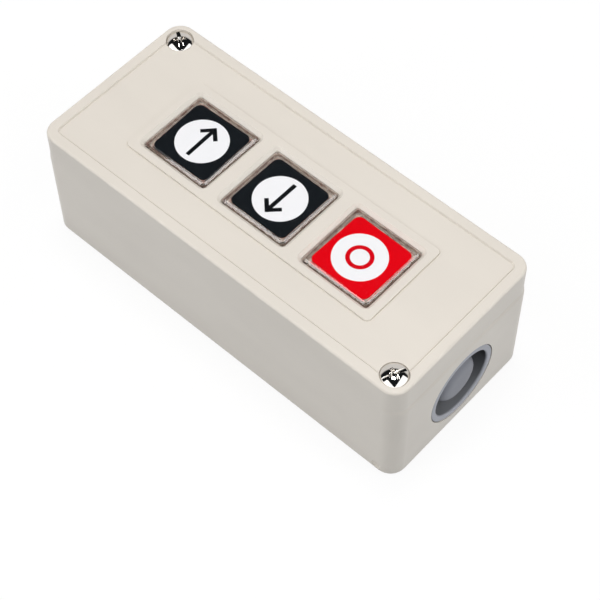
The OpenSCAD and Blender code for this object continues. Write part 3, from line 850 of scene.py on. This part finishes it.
@dataclass
class Cover:
    """The deep moulded cover, with its sunk field, raised plate and windows."""

    box: Box = Box.of("cover")
    cap: Box = Box.of("rev_cap")
    buttons: tuple[float, ...] = tuple(Box.of(f"{name}_cap").middle.y for name in BUTTONS)
    corner: float = 5.0
    wall: float = 2.2
    top: float = 3.2
    edge: float = 0.8
    pad_top: float = 33.0
    pad_proud: float = 0.4
    pad_steps: tuple[Point, ...] = ((3.0, 1.0), (1.0, 0.7), (0.0, 0.1), (-1.0, 0.0))
    rim: float = 3.5
    sunk: float = 0.45
    slope: float = 0.3
    plate_slope: float = 0.12
    foot_line: float = 0.16
    plate: Plan = Plan(30.1, 88.6, 1.5)
    window_gap: float = 0.3
    window_corner: float = 1.1
    window_edge: float = 1.0
    collar: float = 3.3
    collar_wall: float = 1.4
    pillar_top: float = 31.0
    screw_gap: float = 0.1
    shank_hole: float = 2.2
    rubber_gap: float = 0.25
    rubber_seat: float = 1.3
    rubber_end: float = 6.6
    notch: float = 2.2
    notch_bite: float = 0.6
    notch_height: float = 2.6
    fine_edge: float = 0.08
    past: float = 1.0

    def build(self) -> Object:
        """Builds the cover.

        Returns:
            The piece.
        """
        shell = self._skin().combine(self._hollow(), Way.CUT)
        shell.combine(self._openings(), Way.CUT)
        shell.settled().eased(self.fine_edge)
        return shell.piece("cover_shell", COVER_PLASTIC, Body.HOUSING, ["cover"])

    def _ring(self, inset: float, height: float, pad: float = 0.0) -> Ring:
        """Draws the cover's outline, drawn in all round and lengthened by a pad at each end."""
        length = self.box.size.y - 2 * self.pad_proud + 2 * pad
        return Plan(self.box.size.x, length, self.corner).ring(height, inset)

    def _skin(self) -> Shape:
        """Builds the outside, from the foot up to the raised plate.

        Returns:
            The shape. The steps of the end walls' pads are shares of how proud a pad is.
        """
        foot, top = self.box.low.z, self.box.high.z
        low = top - self.sunk
        line = low - self.foot_line
        return Shape().loft([
            self._ring(foot, foot, self.pad_proud),
            self._ring(0.0, 2 * foot, self.pad_proud),
            *[
                self._ring(0.0, self.pad_top - down * self.pad_proud, share * self.pad_proud)
                for down, share in self.pad_steps
            ],
            *[self._ring(inset, height) for inset, height in soft_edge(top, self.edge)],
            self._ring(self.rim - self.slope, top),
            self._ring(self.rim, line),
            self._ring(self.rim + self.foot_line, low),
            self.plate.ring(low, -self.foot_line),
            self.plate.ring(line),
            self.plate.ring(top, self.plate_slope),
        ])

    def _hollow(self) -> Shape:
        """Builds the inside room, less the collars and the towers of the screws.

        Returns:
            The shape to cut away.
        """
        ceiling = self.box.high.z - self.top
        above = ceiling + self.past
        room = Shape().loft([
            self._ring(self.wall, -self.past),
            *[self._ring(self.wall + inset, z) for inset, z in soft_edge(ceiling, self.edge)],
        ])
        collar = self._window(self.collar_wall)
        for y in self.buttons:
            block = Shape().loft([collar.ring(ceiling - self.collar), collar.ring(above)])
            room.combine(block.at(0.0, y), Way.CUT)
        tower = self._seat_radius() + self.collar_wall
        for shape in self._each_screw(Shape().spin([(tower, self.pillar_top), (tower, above)])):
            room.combine(shape, Way.CUT)
        return room

    def _window(self, wall: float = 0.0) -> Plan:
        """Draws a window, with a wall round it."""
        width = self.cap.size.x + 2 * self.window_gap + 2 * wall
        return Plan(width, width, self.window_corner)

    @property
    def seat(self) -> float:
        """The height that the heads of the screws stand at."""
        return SCREWS_BOX.high.z - ScrewHead.height

    @property
    def screw_at(self) -> Point:
        """The middle of the screw at the forward end."""
        sides = tuple(zip(*FORWARD_SCREW))[:2]
        return tuple((min(side) + max(side)) / 2 for side in sides)

    def _seat_radius(self) -> float:
        """Gives the radius of a screw's seat, from the widest point of the screw's head."""
        head = [(x, y) for x, y, z in FORWARD_SCREW if z > self.seat]
        return self.screw_gap + max(math.dist(point, self.screw_at) for point in head)

    def _each_screw(self, shape: Shape) -> list[Shape]:
        """Stands a copy of a shape at each screw."""
        x, y = self.screw_at
        return [Shape().add(shape).at(way * x, way * y) for way in (-1, 1)]

    def _openings(self) -> Shape:
        """Builds all that is cut through the skin.

        Returns:
            The shape to cut away.
        """
        top = self.box.high.z
        levels = [
            (0.0, top - self.top - self.collar - self.past),
            (0.0, top - self.window_edge),
            (self.window_edge, top),
            (self.window_edge, top + self.past),
        ]
        cuts = Shape()
        for y in self.buttons:
            rings = [self._window().ring(height, -grown) for grown, height in levels]
            cuts.add(Shape().loft(rings).at(0.0, y))
        radius = self._seat_radius()
        hole = Shape().spin([
            (self.shank_hole, self.pillar_top - self.past),
            (self.shank_hole, self.seat),
            (radius, self.seat),
            (radius, top + self.past),
        ])
        for shape in (*self._each_screw(hole), self._cable_hole(), self._notch()):
            cuts.add(shape)
        return cuts

    def _cable_hole(self) -> Shape:
        """Builds the stepped hole of the grommet in the end wall.

        Returns:
            The shape to cut away.
        """
        outer = GROMMET_BOX.size.x / 2
        hole = Shape().spin([
            (outer + self.rubber_gap, -self.past),
            (outer + self.rubber_gap, self.rubber_seat),
            (outer - Grommet.neck, self.rubber_seat),
            (outer - Grommet.neck, self.rubber_end),
        ], steps=96)
        return hole.moved(stand((0.0, self.box.low.y, GROMMET_BOX.middle.z), -90, "X"))

    def _notch(self) -> Shape:
        """Builds the scoop that the cover is lifted by.

        Returns:
            The shape to cut away.
        """
        ball = Shape()
        bmesh.ops.create_uvsphere(ball.mesh, u_segments=48, v_segments=32, radius=self.notch)
        x = self.box.low.x + self.notch_bite - self.notch
        y = self.box.low.y + self.pad_proud + self.corner + self.notch_bite
        return ball.at(x, y, self.notch_height)


@dataclass
class ScrewHead:
    """A bright pan head screw with a slotted cross recess and a threaded shank."""

    name: str
    place: Vector
    turn: float
    radius: float = 3.9
    height: float = 2.7
    dome: float = 6.8
    shoulder: float = 0.4
    underside: Point = (2.34, 3.783)
    pole: float = 0.05
    fine_edge: float = 0.07
    sides: int = 72
    cross: tuple[Plan, Plan] = (Plan(2.07, 0.69, 0.138, 2), Plan(5.98, 1.3225, 0.2645, 2))
    cross_depth: float = 1.7
    slot: tuple[Plan, Plan] = (Plan(11.7, 0.99, 0.099, 1), Plan(11.7, 1.43, 0.143, 1))
    slot_depth: float = 0.95
    shank: float = 1.95
    length: float = 18.0
    pitch: float = 0.7
    thread_depth: float = 0.22
    thread_sides: int = 24
    thread_rows: int = 6

    def build(self) -> Object:
        """Builds the screw.

        Returns:
            The piece.
        """
        head = Shape().spin(self._head_profile(), self.sides)
        head.combine(self._recess(), Way.CUT).eased(self.fine_edge)
        head.add(self._shank()).moved(stand(self.place, self.turn))
        return head.piece(self.name, NICKEL, Body.HOUSING)

    def _head_profile(self) -> list[Point]:
        """Gives the profile of the head: its underside, its shoulder and its crown.

        Returns:
            Radius and height of each step.
        """
        inner = self.radius - self.shoulder
        meet = math.acos(inner / (self.dome - self.shoulder))
        low = self.height - self.dome
        bend = low + (self.dome - self.shoulder) * math.sin(meet)
        return [
            *[(radius, 0.0) for radius in self.underside],
            *arc((inner, bend), self.shoulder, 0, math.degrees(meet), steps=6)[:-1],
            *arc((0.0, low), self.dome, math.degrees(meet), 90, steps=12)[:-1],
            (self.pole, self.height),
        ]

    def _recess(self) -> Shape:
        """Builds the driver's recess: a cross that narrows on its way down, and a slot.

        Returns:
            The shape to cut away.
        """
        wing, across = (self._blade(self.cross, self.cross_depth) for _ in range(2))
        wing.combine(across.moved(stand((0.0, 0.0, 0.0), 90)), Way.JOIN)
        return wing.combine(self._blade(self.slot, self.slot_depth), Way.JOIN)

    def _blade(self, plans: tuple[Plan, Plan], depth: float) -> Shape:
        """Builds a tapered bar, which goes as deep into the crown as it stands out of it."""
        low, high = plans
        return Shape().loft([low.ring(self.height - depth), high.ring(self.height + depth)])

    def _shank(self) -> Shape:
        """Builds the threaded shank, as rings whose radius follows the helix.

        Returns:
            The shape.
        """
        rows = int(self.length / self.pitch * self.thread_rows)
        depths = [self.length * row / rows for row in range(rows + 1)]
        turns = [math.tau * side / self.thread_sides for side in range(self.thread_sides)]
        return Shape().loft([[self._thread_point(a, depth) for a in turns] for depth in depths])

    def _thread_point(self, angle: float, depth: float) -> Place:
        """Finds a point of the thread.

        Args:
            angle: Its direction from the axis.
            depth: Its depth under the head.

        Returns:
            The point.
        """
        phase = (depth / self.pitch + angle / math.tau) % 1.0
        radius = self.shank - self.thread_depth * (1 - abs(2 * phase - 1))
        return radius * math.cos(angle), radius * math.sin(angle), -depth


@dataclass
class CoverScrews:
    """The two screws of the cover, on one diagonal."""

    cover: Cover
    turns: tuple[float, float] = (-20.0, 55.0)

    def build(self) -> list[Object]:
        """Builds both screws.

        Returns:
            The pieces. The node of both screws is hidden.
        """
        x, y = self.cover.screw_at
        made = []
        for way, turn, end in zip((-1, 1), self.turns, ("cable_end", "forward_end")):
            place = Vector((way * x, way * y, self.cover.seat))
            made.append(ScrewHead(f"cover_screw_{end}", place, turn).build())
        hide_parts("cover_screws")
        return made


@dataclass
class Grommet:
    """The flanged rubber bush, closed by a crowned skin."""

    wall: float = 2.6
    gap: float = 0.05
    mouth: float = 10.75
    flange: float = 1.2
    neck: float = 1.15
    groove: float = 7.0
    groove_round: float = 0.6
    lip_round: float = 0.5
    rim_round: float = 0.25
    crown: float = 8.8
    crown_top: float = 0.45
    crown_power: float = 6.7
    crown_steps: int = 24
    pole: float = 0.02
    skin: float = 1.0
    inner: float = 1.4
    inner_taper: float = 0.6
    sides: int = 128

    def build(self) -> Object:
        """Builds the grommet.

        Returns:
            The piece.
        """
        bush = Shape().spin(self._profile(), self.sides)
        bush.moved(stand((0.0, GROMMET_BOX.low.y, GROMMET_BOX.middle.z), -90, "X"))
        return bush.piece("cable_bush", GROMMET_RUBBER, Body.HOUSING, ["cable_grommet"])

    def _crown_depth(self, radius: float) -> float:
        """Gives the depth of the crowned middle at a radius."""
        share = radius / self.crown
        return self.crown_top + (self.groove - self.crown_top) * share**self.crown_power

    def _profile(self) -> list[Point]:
        """Draws the section, from the middle of the face round to the middle of the back.

        Returns:
            Radius and depth of each point.
        """
        outer = GROMMET_BOX.size.x / 2
        behind = self.wall + self.gap
        steps = self.crown_steps
        crown = [self.pole, *[self.crown * math.sqrt(i / steps) for i in range(1, steps + 1)]]
        shrink = 1 - self.skin / self.crown
        groove, lip, rim = self.groove_round, self.lip_round, self.rim_round
        return [
            *[(radius, self._crown_depth(radius)) for radius in crown],
            *arc((self.mouth - groove, self.groove - groove), groove, 90, 0, steps=5),
            *arc((self.mouth + lip, lip), lip, 180, 270, steps=5),
            *arc((outer - rim, rim), rim, 270, 360, steps=5),
            (outer, self.flange),
            (outer - self.neck, self.flange),
            (outer - self.neck, behind),
            (outer, behind),
            (outer - self.inner_taper, self.wall + self.inner),
            (self.mouth, self.groove + self.skin),
            *[(radius * shrink, self._crown_depth(radius) + self.skin) for radius in crown[::-1]],
        ]


class Sign(Enum):
    """The plain sign on a button."""

    RIGHT = "right"
    LEFT = "left"
    RING = "ring"


@dataclass
class Legend:
    """The round white field and the plain sign on a label."""

    sign: Sign
    ink: Finish
    shift: Point = (0.0, 0.0)
    radius: float = 7.7
    layer: float = 0.02
    ink_low: float = 0.01
    ink_top: float = 0.04
    barb_top: float = 0.048
    reach: float = 6.1
    stroke: float = 1.25
    head: float = 3.3
    ring: float = 3.9

    def layers(self) -> dict[str, tuple[Shape, Finish]]:
        """Draws the printed layers.

        Returns:
            The shape and the ink of each layer, by its name.
        """
        layers = {"disc": (Shape().slab(disc(self.radius), -self.layer, self.layer), WHITE_INK)}
        for number, stroke in enumerate(self._strokes()):
            layers[f"sign_{number}"] = (stroke, self.ink)
        return layers

    def _strokes(self) -> list[Shape]:
        """Draws the sign as flat layers of ink.

        Returns:
            The layers: one ring, or the shaft and the barb of an arrow.
        """
        low, high = self.ink_low, self.ink_top
        if self.sign is Sign.RING:
            outer, inner = disc(self.ring), disc(self.ring - self.stroke)
            round_it = ((inner, low), (outer, low), (outer, high), (inner, high), (inner, low))
            return [Shape().loft([raised(*edge) for edge in round_it], closed=False)]
        way = 1 if self.sign is Sign.RIGHT else -1
        half = self.stroke / 2
        slope = half * math.sqrt(2)
        tip, back = self.reach, self.reach - self.head
        shaft = [(-tip, -half), (tip - slope, -half), (tip - slope, half), (-tip, half)]
        barb = [
            (tip, 0.0), (back, self.head), (back - slope, self.head - slope),
            (tip - 2 * slope, 0.0), (back - slope, slope - self.head), (back, -self.head),
        ]
        return [
            Shape().slab([(way * x, y) for x, y in points], low, top)
            for points, top in ((shaft, high), (barb, self.barb_top))
        ]


@dataclass
class PushButton:
    """One button: its clear cap, its label card and the print on the card."""

    name: str
    body: Body
    card: Finish
    legend: Legend
    skew: float = 0.0
    shift: Point = (0.0, 0.0)
    cap_corner: float = 1.1
    inner_corner: float = 0.8
    wall: float = 1.1
    roof: float = 1.15
    chamfer: float = 0.8
    fine_edge: float = 0.06
    inner_edge: float = 0.25
    label_corner: float = 1.9
    label_edge: tuple[Point, ...] = ((0.1, 0.0), (0.03, 0.06), (0.0, 0.15))

    def build(self) -> list[Object]:
        """Builds the button's pieces.

        Returns:
            The pieces.
        """
        box = Box.of(f"{self.name}_label")
        spot = stand((self.shift[0], box.middle.y + self.shift[1], box.high.z), self.skew)
        made = [self._cap(), self._card(box, spot)]
        middle = spot @ Matrix.Translation((*self.legend.shift, 0.0))
        for layer, (shape, ink) in self.legend.layers().items():
            name = f"{self.name}_{layer}"
            made.append(shape.moved(middle).piece(name, ink, self.body, slot=self.card.slot))
        return made

    def _cap(self) -> Object:
        """Builds the clear cap as one skin, from its inner roof over its foot to its top.

        Returns:
            The piece.
        """
        box = Box.of(f"{self.name}_cap")
        width = box.size.x
        hollow = width - 2 * self.wall
        inside = Plan(hollow, hollow, self.inner_corner)
        outside = Plan(width, width, self.cap_corner)
        roof = soft_edge(box.high.z - self.roof, self.inner_edge, steps=3)
        cap = Shape().loft([
            *[inside.ring(height, inset) for inset, height in roof[::-1]],
            inside.ring(box.low.z),
            outside.ring(box.low.z),
            outside.ring(box.high.z - self.chamfer),
            outside.ring(box.high.z, self.chamfer),
        ])
        cap.at(0.0, box.middle.y).eased(self.fine_edge)
        return cap.piece(f"{self.name}_clear_cap", CLEAR_PLASTIC, self.body, [f"{self.name}_cap"])

    def _card(self, box: Box, spot: Matrix) -> Object:
        """Builds the label card, with its stamped edge a little rounded.

        Args:
            box: The room that the label takes.
            spot: The place and turn of its upper face.

        Returns:
            The piece.
        """
        plan = Plan(box.size.x, box.size.x, self.label_corner)
        edge = ((box.size.z, 0.0), *self.label_edge)
        card = Shape().loft([plan.ring(-depth, inset) for depth, inset in edge])
        name = f"{self.name}_label"
        return card.moved(spot).piece(f"{name}_card", self.card, self.body, [name])


@dataclass
class ReturnSpring:
    """The coil that lifts a button."""

    name: str
    coil: float = 2.9
    wire: float = 0.3
    turns: float = 5.4
    closed_turn: float = 0.8
    floor: float = 4.0
    steps: int = 28
    sides: int = 10

    def build(self) -> Object:
        """Builds the spring. The share of its height that its button's travel would leave is
        worked out, and not used.

        Returns:
            The piece.
        """
        node = f"{self.name}_return_spring"
        box = Box.of(node)
        top = box.high.z
        count = round(self.turns * self.steps)
        wire = Shape().loft([self._ring(i / self.steps, top) for i in range(count + 1)])
        wire.at(0.0, box.middle.y)
        made = wire.piece(f"{self.name}_return_coil", SPRING_STEEL, Body.HOUSING, [node])
        press = next(j for j in frame["joints"] if j["name"] == f"{self.name}_press")
        travel = max(abs(limit) for limit in press["range_m"]) / MM
        keep = 1 - travel / (top - self.floor)
        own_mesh(made)
        return made

    def _ring(self, turn: float, top: float) -> Ring:
        """Draws the section of the wire, which lies flat at both ends of the coil.

        Args:
            turn: How many turns the section is along the wire.
            top: The height of the coil's top.

        Returns:
            The section's points.
        """
        low, high = self.floor + self.wire, top - self.wire
        share = (turn - self.closed_turn) / (self.turns - 2 * self.closed_turn)
        height = low + (high - low) * min(max(share, 0.0), 1.0)
        half, way = 180 / self.sides, math.tau * turn
        section = arc((self.coil, height), self.wire, half, 360 + half, self.sides)[:-1]
        return [(radius * math.cos(way), radius * math.sin(way), z) for radius, z in section]


def dress_frame() -> None:
    """Gives a finish to the nodes that keep their own shape."""
    for name, finish in CARRIED_OVER.items():
        node = frame["nodes"][name]
        node.data.materials.clear()
        node.data.materials.append(finish.material())
    LOG.info("dressed %d nodes of the frame", len(CARRIED_OVER))


# Studio


@dataclass
class Softbox:
    """One softbox that looks at the object, in metres.

    Its level is the share of white that it adds to a face turned to it.
    """

    name: str
    way: Place
    level: float
    width: float
    height: float
    distance: float = 1.6

    def build(self) -> Object:
        """Builds the lamp.

        Returns:
            The lamp.
        """
        data = bpy.data.lights.new(self.name, "AREA")
        data.shape = "RECTANGLE"
        data.size = self.width
        data.size_y = self.height
        data.energy = self.level * (math.pi * self.distance) ** 2
        lamp = linked(self.name, data)
        way = Vector(self.way).normalized()
        lamp.location = way * self.distance
        lamp.rotation_euler = (-way).to_track_quat("-Z", "Y").to_euler()
        return lamp


SOFTBOXES = (
    Softbox("top_lamp", (0.11, 0.1, 1.0), level=0.4, width=0.45, height=0.45),
    Softbox("left_lamp", (-0.63, 0.14, 0.72), level=0.55, width=2.75, height=1.2),
    Softbox("right_lamp", (0.12, -0.65, 0.72), level=0.49, width=2.75, height=1.2),
    Softbox("left_strip", (-0.833, 0.375, 0.406), level=0.15, width=0.4, height=0.4),
    Softbox("right_strip", (0.406, -0.833, 0.375), level=0.13, width=0.4, height=0.4),
)


@dataclass
class Studio:
    """The floor, the room round the object and its lamps, in metres."""

    lamps: tuple[Softbox, ...] = SOFTBOXES
    floor_side: float = 6.0
    floor_drop: float = 0.0001
    floor_lit: Colour = (0.4, 0.42, 0.44)
    floor_white: float = 0.9
    white: Colour = (1.0, 1.0, 1.0)
    horizon: Colour = (0.65, 0.63, 0.61)
    zenith: Colour = (0.008, 0.009, 0.01)
    lean: Place = (-0.26, -0.24, 0.935)
    dusk: Point = (0.22, 0.06)

    def build(self) -> None:
        """Builds the studio."""
        self._floor()
        self._room()
        for lamp in self.lamps:
            lamp.build()
        bpy.context.scene.view_settings.view_transform = "Standard"
        LOG.info("studio is lit")

    def _floor(self) -> None:
        """Lays the floor, which looks white but lights the object with less."""
        half = self.floor_side / 2
        corners = [(-half, -half), (half, -half), (half, half), (-half, half)]
        data = bpy.data.meshes.new("floor")
        data.from_pydata(raised(corners, -self.floor_drop), [], [(0, 1, 2, 3)])
        material = bpy.data.materials.new("floor_white")
        data.materials.append(material)
        graph = Graph(material)
        seen = graph.rays("Camera", "Glossy", "Transmission")
        pale = graph.mix(self.floor_lit, self.white, seen)
        matt = graph.node("ShaderNodeBsdfDiffuse", sockets={"Color": pale})
        glow = graph.node("ShaderNodeEmission", sockets={"Color": self.white})
        graph.finish(graph.blend(matt, glow, seen * self.floor_white))
        linked("floor", data)

    def _room(self) -> None:
        """Lights the room round the object, bright at the horizon and dim overhead."""
        world = bpy.data.worlds.new("room")
        bpy.context.scene.world = world
        graph = Graph(world)
        way = graph.node("ShaderNodeTexCoord", output="Generated")
        height = graph.measure("DOT_PRODUCT", way, self.lean)
        glow = graph.mix(self.horizon, self.zenith, height.above(*self.dusk))
        light = graph.node("ShaderNodeBackground", sockets={"Color": glow})
        graph.finish(light, "ShaderNodeOutputWorld")


@dataclass
class PhotoCamera:
    """The camera at the photograph's place, with depth of field off."""

    place: Place = (-203.9, -195.1, 416.6)
    aim: Place = (-10.54, -16.55, 20.0)
    lens: float = 103.77
    sensor: float = 36.0
    roll: float = -0.83
    near: float = 0.01

    def build(self) -> Object:
        """Builds the camera and makes it the scene's own.

        Returns:
            The camera.
        """
        data = bpy.data.cameras.new("photo_camera")
        data.lens = self.lens
        data.sensor_width = self.sensor
        data.clip_start = self.near
        camera = linked("photo_camera", data)
        place, aim = Vector(self.place) * MM, Vector(self.aim) * MM
        level = (aim - place).to_track_quat("-Z", "Y").to_matrix().to_4x4()
        rolled = Matrix.Rotation(math.radians(self.roll), 4, "Z")
        camera.matrix_world = Matrix.Translation(place) @ level @ rolled
        bpy.context.scene.camera = camera
        return camera


def main() -> None:
    """Builds the scene, piece by piece."""
    logging.basicConfig(level=logging.INFO, format="%(name)s: %(message)s")
    PhotoCamera().build()
    cover = Cover()
    cover.build()
    CoverScrews(cover).build()
    Grommet().build()
    upward = Legend(Sign.RIGHT, BLACK_INK, shift=(0.1, 0.0))
    downward = Legend(Sign.LEFT, BLACK_INK, shift=(-0.3, -0.3))
    ring = Legend(Sign.RING, RED_INK, shift=(-0.4, 0.3))
    for button in (
        PushButton("for", Body.FORWARD, BLACK_CARD, upward, skew=1.4, shift=(-0.05, 0.0)),
        PushButton("rev", Body.REVERSE, BLACK_CARD, downward, skew=-0.4, shift=(0.05, 0.05)),
        PushButton("stop", Body.STOP, RED_CARD, ring, skew=-1.2, shift=(-0.1, -0.05)),
    ):
        button.build()
        ReturnSpring(button.name).build()
    dress_frame()
    Studio().build()


if __name__ == "__main__":
    main()
